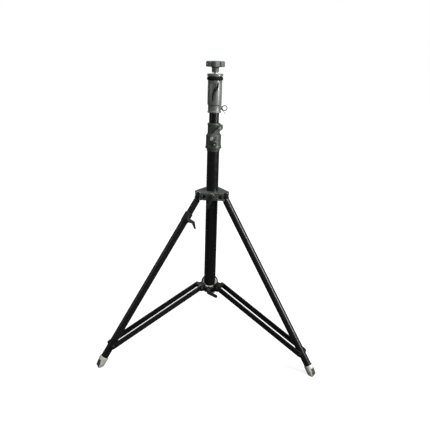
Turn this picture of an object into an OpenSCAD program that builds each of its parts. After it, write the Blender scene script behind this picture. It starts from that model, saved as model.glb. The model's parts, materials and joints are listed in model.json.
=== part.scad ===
/* [Stance] */
// Distance of each foot's centre from the column axis
foot_reach = 495; // [460:5:530]
// Height of the leg end points above the floor
foot_height = 20; // [18:1:24]
// Height of the leg pivots
pivot_height = 682.5; // [660:0.5:700]
// Distance of the leg pivots from the column axis
pivot_radius = 58; // [56:1:60]
// Distance along a leg from its pivot to the brace bolt
brace_bolt_drop = 717; // [690:1:725]
// Height of the brace pivots on the lower spider
lower_pivot_height = 274.4; // [270:0.2:280]
// Distance of the brace pivots from the column axis
lower_pivot_radius = 52; // [50:1:54]

/* [Tubes] */
// Outer radius of the base tube
base_radius = 25; // [25:0.5:25]
// Outer radius of the first riser
riser_1_radius = 20; // [20:0.5:20]
// Outer radius of the second riser
riser_2_radius = 15; // [15:0.5:15]
// Outer radius of the legs
leg_radius = 15; // [15:0.5:15]
// Wall of the base tube and of the legs
tube_wall = 2; // [1.5:0.1:2]
// Wall of the risers
riser_wall = 1.8; // [1.5:0.1:1.8]

/* [Heights] */
// Lower end of the base tube
base_bottom = 250; // [248:1:252]
// Lower end of the gear housing
housing_bottom = 866; // [860:1:870]
// Height of the crank shaft
crank_height = 963; // [962:0.5:964]
// Upper end of the gear housing
housing_top = 979; // [979:1:979]
// Lower end of the lock collar
collar_bottom = 1020.7; // [1020:0.1:1022]
// Upper end of the lock collar
collar_top = 1147.4; // [1146:0.1:1149]
// Height of the top plate's upper face
plate_top = 1171.5; // [1171.5:0.5:1171.5]
// Height of the hand knob's upper face
knob_top = 1220.7; // [1219:0.1:1224]

/* [Knob] */
// Outer radius over the hand knob's lobes
knob_radius = 38; // [36:0.5:40]
// Number of lobes on the hand knob
knob_lobes = 7; // [6:1:8]

/* [Gears] */
// Tooth module of the pinion and the rack
gear_module = 1.5; // [1.5:0.1:1.5]
// Number of pinion teeth
pinion_teeth = 10; // [10:1:10]
// Number of rack teeth
rack_teeth = 128; // [110:1:128]

/* [Hidden] */
$fn = 64;
eps = 0.01;
fit = 0.05;
running_fit = 0.06;
leg_azimuths = [-60, 60, 180];

// Leg and brace geometry in the vertical plane of a leg
leg_run = foot_reach - pivot_radius;
leg_fall = pivot_height - foot_height;
leg_length = norm([leg_run, leg_fall]);
leg_tilt = atan2(leg_run, leg_fall);
bolt_reach = pivot_radius + brace_bolt_drop * sin(leg_tilt);
bolt_height = pivot_height - brace_bolt_drop * cos(leg_tilt);
brace_run = bolt_reach - lower_pivot_radius;
brace_rise = lower_pivot_height - bolt_height;
brace_length = norm([brace_run, brace_rise]);
brace_pitch = atan2(brace_rise, brace_run);

// Upper spider
spider_bottom = pivot_height - 14.5;
spider_top = pivot_height + 17.5;
ear_length = 72;
ear_half_width = 21;
spider_face = ear_length * cos(60) + ear_half_width * sin(60);
bolt_pocket_radius = 9.5;
ear_slot_half = 15.3;
ear_slot_start = 43.5;
ear_roof = 5;
pivot_bolt_radius = 5;
head_radius = 12;
head_half_width = 14.8;
leg_start = 16;
upper_lever_height = spider_bottom + 20;

// Levelling leg
inner_leg_radius = 13.4;
inner_leg_end = 330;
outer_leg_start = 88;
clamp_drop = 112;
clamp_sleeve_end = 126;
clamp_boss_end = 21;
clamp_lever_half = 3.5;

// Feet
foot_radius = 18;
foot_collar = 20;
foot_overrun = 40;
leg_end_gap = 8;
foot_toe_cut = 5;

// Braces
strut_height = 21;
strut_thick = 7;
strut_inner = 17.2;
strut_outer = strut_inner + strut_thick;
brace_bolt_radius = 4;
bolt_head_radius = 6.5;
bolt_head_thick = 4.5;

// Lower spider
lower_hub_bottom = base_bottom + 0.3;
lower_hub_radius = 37;
lower_bush_radius = 30.5;
lower_bore = base_radius + 0.35;
lower_hub_mid = 287;
lower_rim_slope = 27;
lower_ear_half = 16.5;
lower_ear_round = 9.5;
lower_lever_height = 265;
lower_boss_end = lower_hub_radius + 18;
lower_lever_x = -3;

// Gear housing
housing_flange_radius = 32.9;
housing_wide_radius = 30.75;
housing_neck_radius = 24.8;
housing_rim_radius = 26.4;
tube_seat_top = 925;
guide_radius = 22;
guide_top = 976;
pinion_radius = gear_module * pinion_teeth / 2;
rack_pitch_x = 18.7;
crank_x = rack_pitch_x + pinion_radius;
gear_boss_radius = 11;
gear_boss_front = 24;
gear_boss_rear = 15;
pinion_half_width = 3.6;
pinion_pocket_radius = 9.3;
pinion_pocket_half = 6;
front_bush_radius = 6;
shaft_radius = 4;
brake_x = 6;
brake_height = 898;
brake_boss_radius = 10;
brake_boss_front = 36;
brake_screw_radius = 3.25;
brake_pad_radius = 5;
brake_pad_front = brake_boss_front - 11.5;

// Rack and pinion teeth
gear_pitch = PI * gear_module;
pressure_angle = 20;
tooth_thick = gear_pitch / 2 - 0.25;
rack_addendum = 0.8;
rack_dedendum = 1.4;
rack_back = 15.6;
rack_half_width = 3.8;
rack_bottom = crank_height - gear_pitch * (rack_teeth - 10);
rack_top = rack_bottom + gear_pitch * rack_teeth;
pinion_base_radius = pinion_radius * cos(pressure_angle);
pinion_tip_radius = pinion_radius + 1;
pinion_root_radius = pinion_radius - 1.3;

// Crank
arm_length = 51;
arm_angle = -128.7;
arm_back = 35;
arm_front = 41;
grip_radius = 6.5;
grip_length = 30;
grip_x = crank_x + arm_length * cos(arm_angle);
grip_height = crank_height + arm_length * sin(arm_angle);

// Lock collar
collar_skirt_radius = 25.6;
collar_body_radius = 28.5;
collar_shelf = collar_bottom + 28;
collar_shoulder = collar_bottom + 31.3;
collar_lip = collar_top - 4.4;
collar_guide_radius = 18.5;
collar_rib_depth = 0.9;
collar_rib_gap = 4;
collar_lever_x = 5.6;
collar_lever_height = 1115;
latch_height = collar_bottom + 17.3;
latch_radius = 3;
tab_x = 29;
tab_width = 4;
ring_radius = 9.75;
ring_wire = 1.6;
ring_x = tab_x + 12.2;

// Risers and top
riser_1_bottom = 264;
riser_1_top = collar_bottom + 27.5;
riser_1_bore = riser_1_radius - riser_wall;
riser_2_bottom = 290;
riser_2_bore = riser_2_radius - riser_wall;
foot_bush_height = 36;
bumper_bottom = collar_top + 0.3;
bumper_top = 1160;
plate_bottom = 1163;
plate_radius = 31.8;
groove_radius = 28.5;
stud_radius = 6;
stud_top = knob_top - 9;
hub_radius = 14;
hub_bottom = 1178;
knob_bottom = knob_top - 23;
insert_radius = 9;
washer_bottom = 1175.4;
washer_top = 1177.7;

// Placing helpers. In a leg's frame +X points outwards from the column.
module at_leg(n) {
    rotate([0, 0, leg_azimuths[n] - 90]) children();
}

// The leg's own frame: origin at the pivot, -Z down the leg.
module along_leg(n) {
    at_leg(n) translate([pivot_radius, 0, pivot_height]) rotate([0, -leg_tilt, 0]) children();
}

// A cylinder along Y from y0 to y1 at x, z
module rod_y(r, y0, y1, x = 0, z = 0) {
    translate([x, y1, z]) rotate([90, 0, 0]) cylinder(r = r, h = y1 - y0);
}

// A cylinder along X from x0 to x1 at y, z
module rod_x(r, x0, x1, y = 0, z = 0) {
    translate([x0, y, z]) rotate([0, 90, 0]) cylinder(r = r, h = x1 - x0);
}

module disc(r, z0, z1) {
    translate([0, 0, z0]) cylinder(r = r, h = z1 - z0);
}

module pipe(r_out, r_in, z0, z1) {
    difference() {
        disc(r_out, z0, z1);
        disc(r_in, z0 - 1, z1 + 1);
    }
}

module block(x0, x1, half_y, z0, z1) {
    translate([x0, -half_y, z0]) cube([x1 - x0, 2 * half_y, z1 - z0]);
}

// A lever lying in a plane of constant Y: round ends of the given radii, joined end to
// end by links of the given lengths and angles
module lever(x, z, y0, y1, angles, lengths, radii) {
    translate([x, y1, z]) rotate([90, 0, 0]) linear_extrude(y1 - y0)
        lever_outline(angles, lengths, radii, 0);
}

module lever_outline(angles, lengths, radii, i) {
    next = lengths[i] * [cos(angles[i]), sin(angles[i])];
    hull() {
        circle(r = radii[i], $fn = 48);
        translate(next) circle(r = radii[i + 1], $fn = 48);
    }
    if (i + 1 < len(lengths))
        translate(next) lever_outline(angles, lengths, radii, i + 1);
}

// Column
module base_tube() color("dimgray") difference() {
    pipe(base_radius, base_radius - tube_wall, base_bottom, tube_seat_top - eps);
    rod_y(brake_screw_radius + 2.3, -base_radius - 1, 0, brake_x, brake_height);
}

module base_plug() color("black") {
    disc(base_radius + 2, base_bottom - 7, base_bottom);
    disc(base_radius - tube_wall - fit, base_bottom - eps, base_bottom + 12);
}

// Six-sided outline: the three ears' ends, with flat faces between them
module spider_outline() {
    polygon([for (a = leg_azimuths) let (c = cos(a - 90), s = sin(a - 90)) for (side = [-1, 1])
        [ear_length * c - side * ear_half_width * s, ear_length * s + side * ear_half_width * c]]);
}

module upper_spider() color("gray") difference() {
    union() {
        translate([0, 0, spider_bottom]) linear_extrude(spider_top - spider_bottom) spider_outline();
        rod_y(10, -spider_face - 4, -30, 0, upper_lever_height);
    }
    disc(base_radius + fit, spider_bottom - 1, spider_top + 1);
    for (n = [0:2]) at_leg(n) {
        block(ear_slot_start, ear_length + 1, ear_slot_half, spider_bottom - 1, spider_top - ear_roof);
        rod_y(pivot_bolt_radius + fit, -ear_half_width - 1, ear_half_width + 1, pivot_radius, pivot_height);
        for (side = [-1, 1]) scale([1, side, 1])
            rod_y(bolt_pocket_radius, ear_half_width, ear_half_width + 40, pivot_radius, pivot_height);
        translate([ear_length - 4, 0, spider_top]) rotate([0, 45, 0])
            block(0, 20, ear_half_width + 1, -20, 20);
    }
    rod_y(3 + fit, -80, -20, 0, upper_lever_height);
    for (a = [30, 150]) rotate([0, 0, a])
        rod_x(3 + fit, 20, 60, 0, spider_bottom + 12);
}

// One set screw, radial, its outer end at radius r
module set_screw(azimuth, r_in, r_out, z) {
    rotate([0, 0, azimuth]) rod_x(3, r_in, r_out, 0, z);
}

module set_screws() color("silver") {
    for (a = [30, 150]) {
        set_screw(a, base_radius + fit, spider_face + 1, spider_bottom + 12);
        set_screw(a, base_radius + fit, housing_wide_radius + 1, housing_bottom + 34);
    }
}

module gear_housing() color("darkgray") difference() {
    union() {
        rotate_extrude() polygon([
            [20, housing_bottom],
            [26.8, housing_bottom],
            [27.3, housing_bottom + 11],
            [housing_flange_radius - 1, housing_bottom + 11.6],
            [housing_flange_radius, housing_bottom + 13],
            [housing_flange_radius, housing_bottom + 21],
            [housing_flange_radius - 1, housing_bottom + 22.4],
            [housing_wide_radius, housing_bottom + 23],
            [housing_wide_radius, housing_bottom + 65],
            [housing_neck_radius + 1.2, housing_bottom + 71.5],
            [housing_neck_radius, housing_bottom + 74],
            [housing_neck_radius, housing_top - 8],
            [housing_rim_radius, housing_top - 7],
            [housing_rim_radius, housing_top - 1],
            [housing_rim_radius - 1, housing_top],
            [20, housing_top]
        ]);
        rod_y(gear_boss_radius, -gear_boss_front, gear_boss_rear, crank_x, crank_height);
        rod_y(brake_boss_radius, -brake_boss_front, -20, brake_x, brake_height);
    }
    disc(base_radius + fit, housing_bottom - 1, tube_seat_top);
    disc(guide_radius, tube_seat_top - 1, guide_top);
    disc(riser_1_radius + 0.4, guide_top - 1, housing_top + 1);
    rod_y(pinion_pocket_radius, -pinion_pocket_half, 30, crank_x, crank_height);
    rod_y(front_bush_radius, -30, 0, crank_x, crank_height);
    rod_y(brake_screw_radius + fit, -50, -20, brake_x, brake_height);
    rod_y(brake_pad_radius + fit, -brake_pad_front - fit, -20, brake_x, brake_height);
    for (a = [30, 150]) rotate([0, 0, a])
        rod_x(3 + fit, 20, 60, 0, housing_bottom + 34);
}

module riser_guide() color("white") difference() {
    pipe(guide_radius - fit, riser_1_radius + running_fit, tube_seat_top + 1, guide_top - 0.2);
    rod_y(pinion_pocket_radius + 0.3, -pinion_pocket_half - 1, 60, crank_x, crank_height);
    rod_y(front_bush_radius + 0.3, -30, 0, crank_x, crank_height);
}

module pinion_bushes() color("goldenrod") {
    difference() {
        rod_y(front_bush_radius - fit, -gear_boss_front, -pinion_half_width - 0.6, crank_x, crank_height);
        rod_y(shaft_radius + running_fit, -30, 0, crank_x, crank_height);
        disc(riser_1_radius + 0.4, crank_height - 15, crank_height + 15);
    }
    difference() {
        rod_y(pinion_pocket_radius - fit, pinion_half_width + 0.6, gear_boss_rear, crank_x, crank_height);
        rod_y(shaft_radius + running_fit, 0, 30, crank_x, crank_height);
        disc(guide_radius + fit, crank_height - 15, crank_height + 15);
    }
}

module brake_pad() color("saddlebrown")
    rod_y(brake_pad_radius, -brake_pad_front, -riser_1_radius - 0.4, brake_x, brake_height);

// Bolt through the two walls of an upper ear, with a head and a nut
module ear_bolt(n) at_leg(n) {
    rod_y(pivot_bolt_radius, -ear_half_width - 1, ear_half_width + 1, pivot_radius, pivot_height);
    rod_y(8, ear_half_width + fit, ear_half_width + 5, pivot_radius, pivot_height);
    rod_y(8, -ear_half_width - 6, -ear_half_width - fit, pivot_radius, pivot_height);
}

module pivot_bolts() color("silver") {
    for (n = [1, 2]) ear_bolt(n);
}

module pivot_bolt_1() color("silver") ear_bolt(0);

// Upper spider clamp lever, hanging in front of the spider
module upper_lever() color("dimgray") difference() {
    lever(0, upper_lever_height, -spider_face - 11.5, -spider_face - 4.5,
        [-100, -112], [16, 33], [9.5, 6.8, 7.5]);
    rod_y(3 + fit, -70, -30, 0, upper_lever_height);
}

module upper_lever_bolt() color("silver") {
    rod_y(3, -spider_face - 12, -base_radius - 1, 0, upper_lever_height);
    rod_y(5.5, -spider_face - 15, -spider_face - 11.6, 0, upper_lever_height);
}

// Crank drive
module crank_shaft() color("silver") {
    rod_y(shaft_radius, -arm_front - 1, gear_boss_rear + 3, crank_x, crank_height);
    rod_y(6, -arm_front - 5, -arm_front - 0.1, crank_x, crank_height);
    rod_y(6.5, gear_boss_rear + 0.4, gear_boss_rear + 2.4, crank_x, crank_height);
}

// Involute angle, in degrees, at radius r
function involute(r) = let (a = acos(pinion_base_radius / r)) tan(a) * 180 / PI - a;
function half_tooth(r) = tooth_thick / pinion_radius * 90 / PI + involute(pinion_radius) - involute(r);
function on_circle(r, a) = [r * cos(a), r * sin(a)];

module pinion_outline() {
    flank = [for (i = [0:5]) pinion_base_radius + eps + (pinion_tip_radius - pinion_base_radius - eps) * i / 5];
    polygon([for (k = [0:pinion_teeth - 1]) let (a = 180 + k * 360 / pinion_teeth) each [
        on_circle(pinion_root_radius, a - half_tooth(flank[0])),
        for (r = flank) on_circle(r, a - half_tooth(r)),
        for (i = [5:-1:0]) on_circle(flank[i], a + half_tooth(flank[i])),
        on_circle(pinion_root_radius, a + half_tooth(flank[0]))
    ]]);
}

module pinion() color("silver") difference() {
    translate([crank_x, pinion_half_width, crank_height]) rotate([90, 0, 0])
        linear_extrude(2 * pinion_half_width) pinion_outline();
    rod_y(shaft_radius + 0.02, -10, 10, crank_x, crank_height);
}

module crank_arm() color("silver") difference() {
    union() {
        rod_y(6.8, -arm_back - 1, -gear_boss_front - 1.5, crank_x, crank_height);
        lever(crank_x, crank_height, -arm_front, -arm_back, [arm_angle], [arm_length], [7.5, 6.5]);
    }
    rod_y(shaft_radius + 0.02, -60, -10, crank_x, crank_height);
    rod_y(3 + 0.02, -60, -10, grip_x, grip_height);
}

module grip_spindle() color("silver") {
    rod_y(3, -arm_front - grip_length - 2, -arm_back + 1.5, grip_x, grip_height);
    rod_y(5, -arm_back + 0.1, -arm_back + 2, grip_x, grip_height);
    rod_y(4.5, -arm_front - grip_length - 4, -arm_front - grip_length - 1.2, grip_x, grip_height);
}

module crank_grip() color("lightgray") translate([grip_x, -arm_front - 0.6, grip_height])
    rotate([90, 0, 0]) rotate_extrude() polygon([
        [3 + running_fit, 0],
        [grip_radius - 1.5, 0],
        [grip_radius - 0.5, 1.5],
        [grip_radius, grip_length * 0.45],
        [grip_radius - 0.4, grip_length * 0.8],
        [grip_radius - 1.6, grip_length - 0.4],
        [3 + running_fit, grip_length - 0.4]
    ]);

// Brake knob with grip flutes
module brake_knob() color("black") difference() {
    rod_y(8.5, -brake_boss_front - 9, -brake_boss_front - 1, brake_x, brake_height);
    rod_y(brake_screw_radius + 0.02, -60, -30, brake_x, brake_height);
    for (a = [0:30:330])
        rod_y(0.9, -brake_boss_front - 10, -brake_boss_front - 2.5,
            brake_x + 8.8 * cos(a), brake_height + 8.8 * sin(a));
}

module brake_screw() color("silver")
    rod_y(brake_screw_radius, -brake_boss_front - 10.5, -brake_boss_front + 11, brake_x, brake_height);

// First riser
module riser_1_tube() color("dimgray") difference() {
    pipe(riser_1_radius, riser_1_bore, riser_1_bottom, riser_1_top);
    block(10, 30, rack_half_width + fit, rack_bottom - 1, rack_top + 1);
}

module gear_rack() color("gray") {
    flank = (rack_addendum + rack_dedendum) * tan(pressure_angle);
    tip_half = tooth_thick / 2 - rack_addendum * tan(pressure_angle);
    root_half = tip_half + flank;
    root_x = rack_pitch_x - rack_dedendum;
    tip_x = rack_pitch_x + rack_addendum;
    translate([0, rack_half_width, 0]) rotate([90, 0, 0]) linear_extrude(2 * rack_half_width)
        polygon([
            [rack_back, rack_top],
            [rack_back, rack_bottom],
            for (k = [0:rack_teeth - 1]) let (z = rack_bottom + (k + 0.5) * gear_pitch) each [
                [root_x, z - root_half],
                [tip_x, z - tip_half],
                [tip_x, z + tip_half],
                [root_x, z + root_half]
            ]
        ]);
}

module riser_1_foot() color("white")
    pipe(base_radius - tube_wall - running_fit, riser_1_radius + 0.02, riser_1_bottom,
        riser_1_bottom + foot_bush_height);

module lock_collar() color("darkgray") difference() {
    union() {
        rotate_extrude() polygon([
            [19, collar_bottom],
            [26.8, collar_bottom],
            [27.6, collar_bottom + 1],
            [27.6, collar_bottom + 5.5],
            [collar_skirt_radius, collar_bottom + 7],
            [collar_skirt_radius, collar_shoulder - 3],
            [collar_body_radius - 0.8, collar_shoulder],
            [collar_body_radius, collar_shoulder + 1],
            for (k = [3:-1:0]) let (z = collar_top - 1.6 - k * collar_rib_gap) each [
                [collar_body_radius, z - 1.6],
                [collar_body_radius - collar_rib_depth, z - 1.2],
                [collar_body_radius - collar_rib_depth, z - 0.4],
                [collar_body_radius, z]
            ],
            [collar_body_radius, collar_top - 0.8],
            [collar_body_radius - 0.8, collar_top],
            [14, collar_top],
            [14, collar_shelf]
        ]);
        rod_y(8.5, -31, -20, collar_lever_x, collar_lever_height);
        rod_x(6, 22, tab_x - 0.6, 0, latch_height);
    }
    disc(riser_1_radius + fit, collar_bottom - 1, collar_shelf);
    disc(collar_guide_radius, collar_shelf - 1, collar_lip);
    disc(riser_2_radius + 0.4, collar_lip - 1, collar_top + 1);
    rod_y(3 + fit, -50, -17, collar_lever_x, collar_lever_height);
    rod_x(latch_radius + running_fit, 10, 40, 0, latch_height);
}

module collar_guide() color("white") difference() {
    pipe(collar_guide_radius - fit, riser_2_radius + running_fit, collar_shelf + 1, collar_lip - 0.2);
    rod_y(3.3, -50, -16.5, collar_lever_x, collar_lever_height);
}

module latch_bracket() color("black")
    block(collar_skirt_radius + 0.1, tab_x + 2, 5, latch_height + 7.4, latch_height + 9.8);

module latch_plunger() color("black") {
    rod_x(latch_radius, riser_1_radius + 0.5, tab_x + 1, 0, latch_height);
    block(tab_x, tab_x + tab_width, 2.5, latch_height - 7, latch_height + 7);
}

module pull_ring() color("silver") {
    translate([ring_x, 0, latch_height + 1.5]) rotate([90, 0, 0]) rotate_extrude()
        translate([ring_radius, 0]) circle(r = ring_wire);
    translate([tab_x + 3, 0, latch_height - 6]) rotate([0, 140, 0]) cylinder(r = 0.9, h = 22);
}

// S-shaped lock lever in front of the collar
module collar_lever() color("black") difference() {
    union() {
        lever(collar_lever_x, collar_lever_height, -37, -31.5, [48, 88], [10, 16], [6.5, 3, 2.2]);
        lever(collar_lever_x, collar_lever_height, -37, -31.5,
            [-128, -108, -88], [13, 13, 22], [6.5, 4.2, 3.2, 2.4]);
    }
    rod_y(3 + fit, -50, -20, collar_lever_x, collar_lever_height);
}

module collar_lever_bolt() color("silver") {
    rod_y(3, -38, -riser_2_radius - 2, collar_lever_x, collar_lever_height);
    rod_y(5, -40, -37.1, collar_lever_x, collar_lever_height);
}

// Second riser and top
module riser_2_tube() color("dimgray")
    pipe(riser_2_radius, riser_2_bore, riser_2_bottom, bumper_top - 0.1);

module riser_2_foot() color("white") difference() {
    pipe(riser_1_bore - running_fit, riser_2_radius + 0.02, riser_2_bottom,
        riser_2_bottom + foot_bush_height);
    block(rack_back - 0.3, 30, rack_half_width + 0.5, riser_2_bottom - 1, riser_2_bottom + 60);
}

module bumper_ring() color("black") rotate_extrude() polygon([
    [riser_2_radius + fit, bumper_bottom],
    [31, bumper_bottom],
    [32, bumper_bottom + 1.5],
    [32, bumper_top - 3.5],
    [30.5, bumper_top - 0.2],
    [riser_2_radius + fit, bumper_top - 0.2]
]);

module top_plate() color("darkgray") difference() {
    union() {
        disc(groove_radius, bumper_top, plate_bottom + eps);
        rotate_extrude() polygon([
            [0, plate_bottom],
            [plate_radius - 0.8, plate_bottom],
            [plate_radius, plate_bottom + 1],
            [plate_radius, plate_top - 1],
            [plate_radius - 1, plate_top],
            [0, plate_top]
        ]);
        disc(riser_2_bore - fit, bumper_top - 38, bumper_top + eps);
    }
    disc(stud_radius + 0.02, bumper_top - 40, plate_top + 1);
}

module top_stud() color("silver") {
    disc(stud_radius, bumper_top - 30, stud_top - 1);
    translate([0, 0, stud_top - 1]) cylinder(r1 = stud_radius, r2 = stud_radius - 1, h = 1);
}

module knob_washer() color("silver")
    pipe(12, stud_radius + 0.4, washer_bottom, washer_top);

module hand_knob() color("dimgray") difference() {
    union() {
        rotate_extrude() polygon([
            [0, hub_bottom],
            [hub_radius - 1, hub_bottom],
            [hub_radius, hub_bottom + 1],
            [hub_radius, knob_bottom - 4],
            [hub_radius + 5, knob_bottom + 0.6],
            [knob_radius - 9, knob_bottom + 0.8],
            [knob_radius - 7, knob_bottom + 2.5],
            [knob_radius - 7, knob_top - 3],
            [knob_radius - 9, knob_top - 1],
            [0, knob_top]
        ]);
        for (k = [0:knob_lobes - 1]) rotate([0, 0, 360 * k / knob_lobes + 15])
            translate([knob_radius - 11.5, 0, 0]) rotate_extrude() polygon([
                [0, knob_bottom],
                [9.5, knob_bottom],
                [11.5, knob_bottom + 2],
                [11.5, knob_top - 3.5],
                [8.5, knob_top - 1.2],
                [0, knob_top - 1]
            ]);
    }
    disc(insert_radius, hub_bottom - 1, knob_bottom);
    disc(stud_radius + running_fit, hub_bottom - 1, stud_top + 4);
}

module knob_insert() color("goldenrod")
    pipe(insert_radius - 0.02, stud_radius + running_fit, hub_bottom + 0.2, knob_bottom - 0.1);

// Lower spider. Its rim slopes up towards the back, above the rear ear.
module rim_cut(lift) {
    translate([0, 0, lower_hub_mid + lift]) rotate([lower_rim_slope, 0, 0])
        translate([-60, -80, 0]) cube([120, 160, 60]);
}

module lower_spider() color("black") difference() {
    union() {
        difference() {
            disc(lower_hub_radius, lower_hub_bottom, lower_hub_mid + 30);
            rim_cut(-0.8);
        }
        for (n = [0:2]) at_leg(n) {
            block(28, lower_pivot_radius, lower_ear_half, lower_pivot_height - 22,
                lower_pivot_height + lower_ear_round);
            rod_y(lower_ear_round, -lower_ear_half, lower_ear_half, lower_pivot_radius, lower_pivot_height);
        }
        rod_y(9, -lower_boss_end, -28, lower_lever_x, lower_lever_height);
    }
    disc(lower_bush_radius + fit, lower_hub_bottom + 4, 400);
    disc(lower_bore, 0, 400);
    for (n = [0:2]) at_leg(n)
        rod_y(brace_bolt_radius + fit, -30, 30, lower_pivot_radius, lower_pivot_height);
    rod_y(3 + fit, -lower_boss_end - 1, -20, lower_lever_x, lower_lever_height);
}

module lower_bush() color("lightgray") difference() {
    disc(lower_bush_radius, lower_hub_bottom + 4.1, lower_hub_mid + 30);
    disc(lower_bore, 0, 400);
    rim_cut(0);
    rod_y(3 + 0.3, -60, -20, lower_lever_x, lower_lever_height);
}

// Pin through an ear of the lower spider and the two struts beside it
module brace_pin(n) color("silver") at_leg(n) {
    rod_y(brace_bolt_radius, -strut_outer - 1, strut_outer + 1, lower_pivot_radius, lower_pivot_height);
    for (s = [-1, 1]) scale([1, s, 1])
        rod_y(bolt_head_radius, strut_outer + 0.2, strut_outer + bolt_head_thick,
            lower_pivot_radius, lower_pivot_height);
}

module brace_pins() {
    for (n = [1, 2]) brace_pin(n);
}

module lower_lever() color("dimgray") difference() {
    lever(lower_lever_x, lower_lever_height, -lower_boss_end - 8, -lower_boss_end - 0.5,
        [-75, -27], [8, 36], [8, 7, 6]);
    rod_y(3 + fit, -70, -20, lower_lever_x, lower_lever_height);
}

module lower_lever_bolt() color("silver") {
    rod_y(3, -lower_boss_end - 8.5, -base_radius - 1, lower_lever_x, lower_lever_height);
    rod_y(5, -lower_boss_end - 11, -lower_boss_end - 8.1, lower_lever_x, lower_lever_height);
}

// Leg top fitting, with a plug of radius r inside the tube
module leg_head(r) {
    difference() {
        union() {
            rod_y(head_radius, -head_half_width, head_half_width);
            block(-head_radius, head_radius, r * 0.75, -leg_start, 0);
            disc(r, -leg_start - 30, -leg_start + 5);
        }
        rod_y(pivot_bolt_radius + running_fit, -30, 30);
    }
}

module leg_tube(r_out, r_in, from, to) {
    difference() {
        pipe(r_out, r_in, -to, -from);
        rod_y(brace_bolt_radius + fit, -30, 30, 0, -brace_bolt_drop);
    }
}

module plain_leg(n) along_leg(n) {
    leg_head(leg_radius - tube_wall - fit);
    leg_tube(leg_radius, leg_radius - tube_wall, leg_start + 5.1, leg_length - leg_end_gap);
}

module leg_1_inner() color("dimgray") along_leg(0) {
    leg_head(inner_leg_radius - tube_wall - fit);
    pipe(inner_leg_radius, inner_leg_radius - tube_wall, -inner_leg_end, -leg_start - 5.1);
}

module leg_1_outer() color("dimgray") along_leg(0) difference() {
    leg_tube(leg_radius, inner_leg_radius + running_fit, outer_leg_start, leg_length - leg_end_gap);
    rod_y(3.4, 0, 30, 0, -clamp_drop);
}

// Sleeve on the outer tube's upper end, with a boss at its side for the clamp screw
module leg_clamp() color("dimgray") along_leg(0) difference() {
    union() {
        disc(leg_radius + 1.8, -clamp_sleeve_end, -outer_leg_start + 4);
        rod_y(8.5, 12, clamp_boss_end, 0, -clamp_drop);
    }
    disc(leg_radius + fit, -clamp_sleeve_end - 1, -outer_leg_start + eps);
    disc(inner_leg_radius + 0.3, -200, 0);
    rod_y(3 + fit, 0, 40, 0, -clamp_drop);
}

module clamp_screw() color("silver") along_leg(0) {
    rod_y(3, inner_leg_radius + 0.3, clamp_boss_end + 9, 0, -clamp_drop);
    rod_y(5.5, clamp_boss_end + 0.6 + 2 * clamp_lever_half, clamp_boss_end + 11, 0, -clamp_drop);
}

// Wing lever of the levelling leg's clamp
module clamp_lever() color("black") along_leg(0) difference() {
    lever(0, -clamp_drop, clamp_boss_end + 0.5, clamp_boss_end + 0.5 + 2 * clamp_lever_half,
        [175, -141], [24, 29], [9, 6.5, 3]);
    rod_y(3 + 0.02, 0, 60, 0, -clamp_drop);
}

// Foot: a boot on the leg's end, flat on the floor and faceted on its outer side
module foot(n) color("silver") difference() {
    along_leg(n) difference() {
        disc(foot_radius, -leg_length - foot_overrun, -leg_length + foot_collar);
        disc(leg_radius + fit, -leg_length + leg_end_gap - 0.5, 0);
        translate([foot_radius - 5.5, 0, -leg_length + foot_toe_cut]) rotate([0, 12, 0])
            block(0, 30, 30, -80, 0);
    }
    at_leg(n) block(foot_reach - 80, foot_reach + 90, 60, -60, 0);
}

// Bolt through a leg, with spacers that hold the two struts clear of the tube
module brace_bolt(n) color("silver") along_leg(n) {
    rod_y(brace_bolt_radius, 0.2 - strut_inner, strut_inner - 0.2, 0, -brace_bolt_drop);
    for (s = [-1, 1]) scale([1, s, 1])
        rod_y(8, leg_radius + 0.2, strut_inner - 0.2, 0, -brace_bolt_drop);
}

// Two flat struts, each with a bolt head at its end on the leg
module brace(n) color("dimgray") at_leg(n)
    translate([lower_pivot_radius, 0, lower_pivot_height]) rotate([0, brace_pitch, 0])
        for (s = [-1, 1]) scale([1, s, 1]) {
            difference() {
                strut();
                rod_y(brace_bolt_radius + running_fit, 0, 40);
            }
            rod_y(bolt_head_radius, strut_outer - eps, strut_outer + bolt_head_thick, brace_length, 0);
        }

module strut() {
    union() {
        translate([0, strut_inner, -strut_height / 2]) cube([brace_length, strut_thick, strut_height]);
        for (x = [0, brace_length]) rod_y(strut_height / 2, strut_inner, strut_outer, x, 0);
    }
}

base_tube();
base_plug();
upper_spider();
set_screws();
gear_housing();
riser_guide();
pinion_bushes();
brake_pad();
pivot_bolts();
pivot_bolt_1();
upper_lever();
upper_lever_bolt();
crank_shaft();
pinion();
crank_arm();
grip_spindle();
crank_grip();
brake_knob();
brake_screw();
riser_1_tube();
gear_rack();
riser_1_foot();
lock_collar();
collar_guide();
latch_bracket();
latch_plunger();
pull_ring();
collar_lever();
collar_lever_bolt();
riser_2_tube();
riser_2_foot();
bumper_ring();
top_plate();
top_stud();
knob_washer();
hand_knob();
knob_insert();
lower_spider();
lower_bush();
brace_pins();
brace_pin(0);  // brace_pin_1
lower_lever();
lower_lever_bolt();
leg_1_inner();
leg_1_outer();
leg_clamp();
clamp_screw();
clamp_lever();
foot(0);  // foot_1
color("dimgray") plain_leg(1);  // leg_2
foot(1);  // foot_2
color("dimgray") plain_leg(2);  // leg_3
foot(2);  // foot_3
brace_bolt(0);  // brace_bolt_1
brace_bolt(1);  // brace_bolt_2
brace_bolt(2);  // brace_bolt_3
brace(0);  // brace_1
brace(1);  // brace_2
brace(2);  // brace_3
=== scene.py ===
"""Looks of the crank lighting stand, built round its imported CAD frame. Metres, +Z up."""

import json
import math

import bmesh
import bpy
from mathutils import Matrix, Vector


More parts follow.
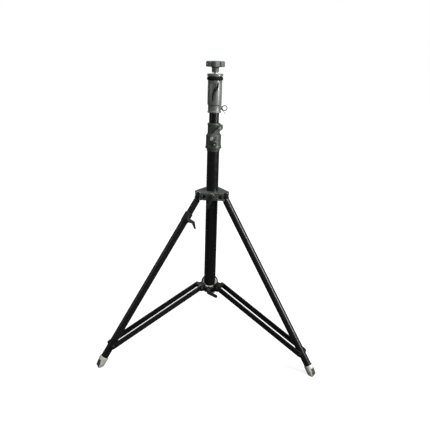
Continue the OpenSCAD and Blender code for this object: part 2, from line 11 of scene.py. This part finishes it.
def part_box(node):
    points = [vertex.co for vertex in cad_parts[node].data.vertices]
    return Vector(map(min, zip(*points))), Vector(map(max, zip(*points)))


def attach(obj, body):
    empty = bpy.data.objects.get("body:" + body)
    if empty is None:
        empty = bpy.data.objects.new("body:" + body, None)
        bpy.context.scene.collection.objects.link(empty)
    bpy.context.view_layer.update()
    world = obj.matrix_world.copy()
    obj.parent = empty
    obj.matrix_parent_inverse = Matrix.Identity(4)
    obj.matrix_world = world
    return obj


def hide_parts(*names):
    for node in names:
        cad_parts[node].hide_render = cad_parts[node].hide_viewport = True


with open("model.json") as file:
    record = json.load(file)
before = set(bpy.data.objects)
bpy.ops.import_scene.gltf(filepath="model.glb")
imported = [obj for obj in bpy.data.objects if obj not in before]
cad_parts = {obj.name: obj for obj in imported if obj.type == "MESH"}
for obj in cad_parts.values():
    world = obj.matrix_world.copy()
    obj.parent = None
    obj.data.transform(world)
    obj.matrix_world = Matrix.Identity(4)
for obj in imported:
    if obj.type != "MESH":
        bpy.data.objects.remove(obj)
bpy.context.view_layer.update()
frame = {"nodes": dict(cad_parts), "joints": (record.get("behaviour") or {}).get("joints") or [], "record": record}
NODE_BODY = {n: b for b, nodes in frame["record"]["behaviour"]["bodies"].items() for n in nodes}
JOINTS = {j["name"]: j for j in frame["joints"]}
SLOTS = {s["node"]: s["material_slot"] for s in frame["record"]["subparts"]}
MM = 0.001

NO_STRETCH = (1, 1, 1)
EDGE_POINTINESS = (0.505, 0.56)    # from a nearly flat face to a full edge
TOE_FACET = (0.931, 0.365)         # how far a foot's front facet faces outwards and upwards
TOE_FACET_MATCH = (0.975, 0.99)
SCUFF_HEIGHT = 0.022               # the feet are scuffed below this, in metres

SEW_MM = 0.002                     # points closer than this are one point
FLAT_DEG = 0.8                     # faces that meet at less than this are one face
BEVEL_DEG = 28.0                   # edges sharper than this are rounded
CRISP_DEG = 35.0                   # edges sharper than this stay crisp in the shading
CAST_CRISP_DEG = 50.0
CAST_FACES_KEPT = 0.5


# ---------------------------------------------------------------- materials
class Finish:
    """A procedural material in the making: a Principled shader and a few ready-made layers."""

    def __init__(self, name, colour, roughness, metallic=0.0, specular=0.5):
        self.material = bpy.data.materials.new(name)
        self.material.use_nodes = True
        self.nodes = self.material.node_tree.nodes
        self.links = self.material.node_tree.links
        self.shader = self.nodes["Principled BSDF"]
        self.shader.inputs["Metallic"].default_value = metallic
        self.shader.inputs["Specular IOR Level"].default_value = specular
        self.shader.inputs["Roughness"].default_value = roughness
        self.place = self.nodes.new("ShaderNodeTexCoord").outputs["Object"]
        self.base = colour
        self.colour = None
        self.height = None

    def noise(self, scale, detail=3.0, stretch=NO_STRETCH):
        mapping = self.nodes.new("ShaderNodeMapping")
        mapping.inputs["Scale"].default_value = stretch
        self.links.new(self.place, mapping.inputs["Vector"])
        texture = self.nodes.new("ShaderNodeTexNoise")
        texture.inputs["Scale"].default_value = scale
        texture.inputs["Detail"].default_value = detail
        texture.inputs["Roughness"].default_value = 0.55
        self.links.new(mapping.outputs["Vector"], texture.inputs["Vector"])
        return texture.outputs["Fac"]

    def ramp(self, source, low, high, start=0.0, end=1.0):
        """Maps source from low..high to start..end."""
        ranged = self.nodes.new("ShaderNodeMapRange")
        ranged.inputs["From Min"].default_value = low
        ranged.inputs["From Max"].default_value = high
        ranged.inputs["To Min"].default_value = start
        ranged.inputs["To Max"].default_value = end
        self.links.new(source, ranged.inputs["Value"])
        return ranged.outputs["Result"]

    def multiply(self, a, b):
        product = self.nodes.new("ShaderNodeMath")
        product.operation = "MULTIPLY"
        self.links.new(a, product.inputs[0])
        self.links.new(b, product.inputs[1])
        return product.outputs["Value"]

    def vector(self, operation):
        node = self.nodes.new("ShaderNodeVectorMath")
        node.operation = operation
        return node

    def blend(self, factor, colour):
        """Lays colour over what is there by factor."""
        mix = self.nodes.new("ShaderNodeMix")
        mix.data_type = "RGBA"
        if self.colour is None:
            mix.inputs["A"].default_value = (*self.base, 1)
        else:
            self.links.new(self.colour, mix.inputs["A"])
        mix.inputs["B"].default_value = (*colour, 1)
        self.links.new(factor, mix.inputs["Factor"])
        self.colour = mix.outputs["Result"]
        return self

    def vary(self, scale, darker, lighter):
        """Clouds of a darker and a lighter tone."""
        cloud = self.noise(scale, 4.0)
        self.blend(self.ramp(cloud, 0.42, 0.25), tuple(c * darker for c in self.base))
        self.blend(self.ramp(cloud, 0.55, 0.78), tuple(min(1, c * lighter) for c in self.base))
        return self

    def wear(self, colour, amount, scale=220.0):
        """Rubbed edges, broken up by noise."""
        pointed = self.nodes.new("ShaderNodeNewGeometry").outputs["Pointiness"]
        edge = self.ramp(pointed, *EDGE_POINTINESS, 0.0, amount)
        self.blend(self.multiply(edge, self.ramp(self.noise(scale), 0.35, 0.6)), colour)
        return self

    def scratches(self, colour, amount, stretch):
        """Long thin rub marks; stretch is small along their length."""
        lines = self.ramp(self.noise(900.0, 2.0, stretch), 0.62, 0.75, 0.0, amount)
        self.blend(self.multiply(lines, self.ramp(self.noise(14.0), 0.45, 0.65)), colour)
        return self

    def rough(self, scale, low, high):
        self.links.new(self.ramp(self.noise(scale, 5.0), 0.3, 0.7, low, high),
                       self.shader.inputs["Roughness"])
        return self

    def facing_out(self, outward, upward):
        """How nearly a face looks along a direction away from the Z axis and upwards."""
        flat = self.vector("MULTIPLY")
        flat.inputs[1].default_value = (1, 1, 0)
        self.links.new(self.place, flat.inputs[0])
        unit = self.vector("NORMALIZE")
        self.links.new(flat.outputs["Vector"], unit.inputs[0])
        aim = self.vector("MULTIPLY_ADD")
        aim.inputs[1].default_value = (outward, outward, outward)
        aim.inputs[2].default_value = (0, 0, upward)
        self.links.new(unit.outputs["Vector"], aim.inputs[0])
        normal = self.nodes.new("ShaderNodeTexCoord").outputs["Normal"]
        dot = self.vector("DOT_PRODUCT")
        self.links.new(aim.outputs["Vector"], dot.inputs[0])
        self.links.new(normal, dot.inputs[1])
        return dot.outputs["Value"]

    def bump(self, scale, depth_mm, stretch=NO_STRETCH):
        node = self.nodes.new("ShaderNodeBump")
        node.inputs["Strength"].default_value = 1.0
        node.inputs["Distance"].default_value = depth_mm * MM
        self.links.new(self.noise(scale, stretch=stretch), node.inputs["Height"])
        if self.height is not None:
            self.links.new(self.height, node.inputs["Normal"])
        self.height = node.outputs["Normal"]
        return self

    def done(self):
        self.links.new(self.colour, self.shader.inputs["Base Color"])
        if self.height is not None:
            self.links.new(self.height, self.shader.inputs["Normal"])
        return self.material


def black_tube():
    """Semi-gloss powder coat with orange peel and faint rub marks along the tube."""
    f = Finish("black_tube", (0.006, 0.0065, 0.006), 0.26, specular=0.45)
    f.vary(18.0, 0.7, 1.7).scratches((0.045, 0.047, 0.045), 0.5, (1, 1, 0.02))
    return f.rough(60.0, 0.2, 0.34).bump(1100.0, 0.015).bump(160.0, 0.02).done()


def black_cast():
    """Black paint on a casting, greyer where it is rubbed."""
    f = Finish("black_cast", (0.008, 0.0085, 0.009), 0.45, specular=0.35)
    f.vary(45.0, 0.7, 1.8).wear((0.09, 0.092, 0.09), 0.7)
    return f.rough(120.0, 0.36, 0.56).bump(900.0, 0.06).bump(220.0, 0.06).done()


def grey_cast():
    """Grey satin paint on sand-cast aluminium: fine grain, worn pale at the edges."""
    f = Finish("grey_cast", (0.2, 0.21, 0.2), 0.42, metallic=0.4)
    f.vary(38.0, 0.72, 1.25).wear((0.36, 0.37, 0.355), 0.7)
    return f.rough(140.0, 0.32, 0.5).bump(1000.0, 0.05).bump(260.0, 0.05).done()


def spider_cast():
    """The darker grey paint of the upper spider and the gear housing."""
    f = Finish("spider_cast", (0.085, 0.092, 0.085), 0.42, metallic=0.3)
    f.vary(40.0, 0.7, 1.35).wear((0.32, 0.33, 0.32), 0.8)
    return f.rough(130.0, 0.28, 0.46).bump(950.0, 0.05).bump(240.0, 0.06).done()


def steel():
    """Zinc plate, brushed faintly."""
    f = Finish("steel", (0.66, 0.66, 0.64), 0.25, metallic=0.6)
    f.vary(160.0, 0.8, 1.1)
    return f.rough(420.0, 0.18, 0.36).bump(1500.0, 0.012, stretch=(1, 1, 0.15)).done()


def black_steel():
    """Blackened steel, bare grey at the edges."""
    f = Finish("black_steel", (0.006, 0.006, 0.0065), 0.36, specular=0.3)
    f.vary(120.0, 0.7, 1.8).wear((0.12, 0.12, 0.12), 0.45, 400.0)
    return f.rough(300.0, 0.26, 0.44).bump(1400.0, 0.02).done()


def brass():
    """Turned brass, slightly dulled."""
    f = Finish("brass", (0.6, 0.42, 0.16), 0.28, metallic=1.0)
    f.vary(200.0, 0.75, 1.1)
    return f.rough(500.0, 0.2, 0.36).bump(1800.0, 0.01).done()


def nylon():
    """Natural nylon, a little translucent."""
    f = Finish("nylon", (0.5, 0.5, 0.47), 0.42)
    f.shader.inputs["Subsurface Weight"].default_value = 0.08
    f.shader.inputs["Subsurface Radius"].default_value = (0.002, 0.002, 0.0016)
    f.vary(60.0, 0.85, 1.1)
    return f.rough(200.0, 0.36, 0.5).bump(900.0, 0.02).done()


def knob_plastic():
    """Moulded dark grey plastic with a fine spark-eroded texture."""
    f = Finish("knob_plastic", (0.13, 0.138, 0.13), 0.44)
    f.vary(50.0, 0.75, 1.25).wear((0.3, 0.31, 0.3), 0.5, 300.0)
    return f.rough(180.0, 0.36, 0.5).bump(1600.0, 0.05).bump(90.0, 0.05).done()


def black_plastic():
    """Moulded black plastic, rubbed grey at the edges."""
    f = Finish("black_plastic", (0.016, 0.016, 0.016), 0.38)
    f.vary(70.0, 0.7, 1.6).wear((0.09, 0.09, 0.09), 0.5, 400.0)
    return f.rough(220.0, 0.3, 0.48).bump(1500.0, 0.03).done()


def grip_plastic():
    """The crank grip's grey plastic, polished by hands."""
    f = Finish("grip_plastic", (0.2, 0.205, 0.19), 0.42)
    f.vary(90.0, 0.8, 1.15).wear((0.5, 0.5, 0.48), 0.4, 400.0)
    return f.rough(220.0, 0.34, 0.5).bump(1300.0, 0.03).done()


def rubber():
    """Matt black rubber."""
    f = Finish("rubber", (0.006, 0.006, 0.006), 0.7, specular=0.15)
    f.vary(60.0, 0.7, 2.0)
    return f.rough(160.0, 0.6, 0.82).bump(1000.0, 0.06).done()


def foot_cast():
    """Bare silver-grey casting, scuffed towards the floor, with a dark facet at its toe."""
    f = Finish("foot_cast", (0.62, 0.61, 0.56), 0.45, metallic=0.15)
    f.vary(70.0, 0.6, 1.25).wear((0.75, 0.74, 0.7), 0.6)
    height = f.nodes.new("ShaderNodeSeparateXYZ")
    f.links.new(f.place, height.inputs["Vector"])
    low = f.ramp(height.outputs["Z"], SCUFF_HEIGHT, 0.0, 0.0, 0.8)
    f.blend(f.multiply(low, f.ramp(f.noise(260.0), 0.4, 0.62)), (0.14, 0.13, 0.11))
    facet = f.ramp(f.facing_out(*TOE_FACET), *TOE_FACET_MATCH, 0.0, 0.92)
    f.blend(facet, (0.035, 0.035, 0.033))
    return f.rough(200.0, 0.34, 0.58).bump(900.0, 0.07).bump(200.0, 0.08).done()


def friction():
    """Pressed brown friction lining."""
    f = Finish("friction", (0.2, 0.12, 0.06), 0.8)
    f.vary(400.0, 0.6, 1.5)
    return f.rough(500.0, 0.7, 0.9).bump(1200.0, 0.08).done()


MATERIALS = {make.__name__: make() for make in (
    black_tube, black_cast, grey_cast, spider_cast, steel, black_steel, brass, nylon,
    knob_plastic, black_plastic, grip_plastic, rubber, foot_cast, friction)}


def paint(obj, slot):
    obj.data.materials.clear()
    obj.data.materials.append(MATERIALS[slot])


# ---------------------------------------------------------------- mesh helpers
def copy_of(node):
    """The CAD node's mesh as a bmesh, with its faces sewn together."""
    bm = bmesh.new()
    bm.from_mesh(frame["nodes"][node].data)
    bmesh.ops.remove_doubles(bm, verts=bm.verts, dist=SEW_MM * MM)
    return bm


def place(name, bm):
    """Uses the bmesh up for a new object in the scene."""
    mesh = bpy.data.meshes.new(name)
    bm.to_mesh(mesh)
    bm.free()
    obj = bpy.data.objects.new(name, mesh)
    bpy.context.scene.collection.objects.link(obj)
    return obj


def shade(obj, angle):
    """Smooth faces, with edges sharper than angle kept crisp."""
    mesh = obj.data
    mesh.polygons.foreach_set("use_smooth", [True] * len(mesh.polygons))
    mesh.set_sharp_from_angle(angle=math.radians(angle))


def dress(obj, node, slot=None):
    """Makes the object stand for a CAD node and ride on its body."""
    slot = slot or SLOTS[node]
    paint(obj, slot)
    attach(obj, NODE_BODY[node])
    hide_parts(node)


def hexagon(bm, point, axis, least, greatest):
    """Draws a round head on an axis in to the hexagon that fits inside it.

    Only points between the least and the greatest distance from the axis are moved.
    """
    across = axis.orthogonal().normalized()
    beside = axis.cross(across)
    for vert in bm.verts:
        arm = vert.co - point
        along = axis * arm.dot(axis)
        arm -= along
        if least < arm.length < greatest:
            turn = math.atan2(arm.dot(beside), arm.dot(across)) % math.radians(60)
            arm *= math.cos(math.radians(30)) / math.cos(turn - math.radians(30))
            vert.co = point + along + arm


def axis_of(joint, least, greatest):
    """The joint's axis as a head for softened()."""
    return JOINTS[joint]["pos_m"], JOINTS[joint]["axis"], least, greatest


def softened(node, width_mm, segments, heads=()):
    """The CAD shape with its flat faces made whole and its sharp edges rounded.

    Each of heads is a point and a direction on a bolt's axis, with the least and the
    greatest radius of its round head in mm: the head becomes a hexagon.
    """
    bm = copy_of(node)
    for point, axis, least, greatest in heads:
        hexagon(bm, Vector(point), Vector(axis).normalized(), least * MM, greatest * MM)
    bmesh.ops.dissolve_limit(
        bm, angle_limit=math.radians(FLAT_DEG), verts=bm.verts, edges=bm.edges)
    edges = [e for e in bm.edges
             if len(e.link_faces) == 2 and e.calc_face_angle() > math.radians(BEVEL_DEG)]
    bmesh.ops.bevel(bm, geom=edges, offset=width_mm * MM, segments=segments, profile=0.5,
                    affect="EDGES", clamp_overlap=True)
    bmesh.ops.recalc_face_normals(bm, faces=bm.faces)
    obj = place(node + "_soft", bm)
    shade(obj, CRISP_DEG)
    dress(obj, node)


def cast(node, voxel_mm, smoothing, slot=None):
    """The CAD shape with the round edges and fillets of a casting."""
    obj = place(node + "_cast", copy_of(node))
    remesh = obj.modifiers.new("remesh", "REMESH")
    remesh.mode = "VOXEL"
    remesh.voxel_size = voxel_mm * MM
    smooth = obj.modifiers.new("smooth", "SMOOTH")
    smooth.factor = 0.5
    smooth.iterations = smoothing
    fewer = obj.modifiers.new("fewer", "DECIMATE")
    fewer.ratio = CAST_FACES_KEPT
    applied = bpy.data.meshes.new_from_object(
        obj.evaluated_get(bpy.context.evaluated_depsgraph_get()))
    obj.modifiers.clear()
    obj.data = applied
    shade(obj, CAST_CRISP_DEG)
    dress(obj, node, slot)


# ---------------------------------------------------------------- camera, light, floor
def build_camera():
    """The photograph's view: slightly right of centre, above the stand's top, looking down."""
    orbit = math.radians(1.349)
    down = math.radians(16.75)
    roll = math.radians(1.655)
    data = bpy.data.cameras.new("camera")
    data.lens = 44.58
    data.sensor_width = 36.0
    data.clip_start = 0.05
    camera = bpy.data.objects.new("camera", data)
    bpy.context.scene.collection.objects.link(camera)
    camera.matrix_world = (
        Matrix.Rotation(orbit, 4, "Z")
        @ Matrix.Translation((0.0151, -2.1674, 1.2433))
        @ Matrix.Rotation(math.radians(90) - down, 4, "X")
        @ Matrix.Rotation(roll, 4, "Z"))
    bpy.context.scene.camera = camera


def softbox(name, place_m, target_m, size_m, watts):
    data = bpy.data.lights.new(name, "AREA")
    data.shape = "RECTANGLE"
    data.size, data.size_y = size_m
    data.energy = watts
    light = bpy.data.objects.new(name, data)
    light.location = place_m
    aim = Vector(target_m) - Vector(place_m)
    light.rotation_euler = aim.to_track_quat("-Z", "Y").to_euler()
    bpy.context.scene.collection.objects.link(light)


def build_studio():
    """A soft key from the right, a faint edge from the left and a light from behind.

    A wide overhead lights the tops and the floor, and the dim room looks white to the camera.
    """
    softbox("key", (1.95, -1.0, 1.55), (0, 0, 0.75), (0.6, 1.6), 56)
    softbox("edge", (-1.9, -1.0, 1.4), (0, 0, 0.6), (0.3, 1.2), 4)
    softbox("rear", (-0.9, 2.1, 1.7), (0, 0, 0.7), (0.8, 1.2), 12)
    sun = bpy.data.lights.new("overhead", "SUN")
    sun.energy = 2.4
    sun.angle = math.radians(50)
    overhead = bpy.data.objects.new("overhead", sun)
    overhead.rotation_euler = (math.radians(12), math.radians(14), 0)
    bpy.context.scene.collection.objects.link(overhead)
    world = bpy.data.worlds.new("studio")
    world.use_nodes = True
    nodes, links = world.node_tree.nodes, world.node_tree.links
    backdrop = nodes["Background"]
    backdrop.inputs["Color"].default_value = (1, 1, 1, 1)
    room = nodes.new("ShaderNodeBackground")
    room.inputs["Color"].default_value = (0.9, 0.95, 0.93, 1)
    room.inputs["Strength"].default_value = 0.1
    seen = nodes.new("ShaderNodeLightPath")
    mix = nodes.new("ShaderNodeMixShader")
    links.new(seen.outputs["Is Camera Ray"], mix.inputs["Fac"])
    links.new(room.outputs["Background"], mix.inputs[1])
    links.new(backdrop.outputs["Background"], mix.inputs[2])
    links.new(mix.outputs["Shader"], nodes["World Output"].inputs["Surface"])
    bpy.context.scene.world = world
    bpy.context.scene.view_settings.view_transform = "Standard"


def build_floor():
    """A plain pale floor, left out of the stand's reflections to keep its tubes black."""
    half = 14.0
    corners = ((-1, -1), (1, -1), (1, 1), (-1, 1))
    bm = bmesh.new()
    bm.faces.new([bm.verts.new((x * half, y * half, 0)) for x, y in corners])
    floor = place("floor", bm)
    f = Finish("floor_paint", (0.36, 0.36, 0.36), 0.75, specular=0.1)
    f.shader.inputs["Emission Color"].default_value = (1, 1, 1, 1)
    f.shader.inputs["Emission Strength"].default_value = 0.8
    f.vary(1.5, 0.985, 1.01)
    floor.data.materials.append(f.done())
    floor.visible_glossy = False
    floor.visible_diffuse = False


# ---------------------------------------------------------------- pieces
for node, obj in frame["nodes"].items():
    paint(obj, SLOTS[node])

for node, voxel_mm in (
        ("upper_spider", 0.9), ("lower_spider", 0.9), ("leg_clamp", 0.6),
        ("foot_1", 0.7), ("foot_2", 0.7), ("foot_3", 0.7), ("hand_knob", 0.6)):
    cast(node, voxel_mm, 5)
cast("gear_housing", 0.7, 4, slot="spider_cast")

for node in ("collar_lever", "upper_lever", "lower_lever", "clamp_lever", "crank_arm",
             "latch_plunger", "latch_bracket", "top_plate", "bumper_ring"):
    softened(node, 0.5, 3)

for node in ("lock_collar", "brake_knob", "crank_grip", "base_plug", "knob_washer", "top_stud"):
    softened(node, 0.25, 2)

for node, joints, least, greatest in (
        ("pivot_bolts", ("leg_2_fold", "leg_3_fold"), 6, 9),
        ("pivot_bolt_1", ("leg_1_fold",), 6, 9),
        ("brace_pins", ("brace_2_fold", "brace_3_fold"), 5, 7),
        ("brace_pin_1", ("brace_1_fold",), 5, 7),
        ("upper_lever_bolt", ("upper_lever_turn",), 4, 6),
        ("lower_lever_bolt", ("lower_lever_turn",), 4, 6),
        ("collar_lever_bolt", ("collar_lever_turn",), 4, 6),
        ("clamp_screw", ("clamp_lever_turn",), 4, 6),
        ("crank_shaft", ("crank_turn",), 5, 7)):
    softened(node, 0.3, 2, heads=[axis_of(j, least, greatest) for j in joints])

for n in (1, 2, 3):
    bolt_low, bolt_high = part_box(f"brace_bolt_{n}")
    bolt = (Vector(bolt_low) + Vector(bolt_high)) / 2
    softened(f"brace_{n}", 0.5, 2, heads=[(bolt, JOINTS[f"brace_{n}_fold"]["axis"], 5, 7)])

build_camera()
build_studio()
build_floor()
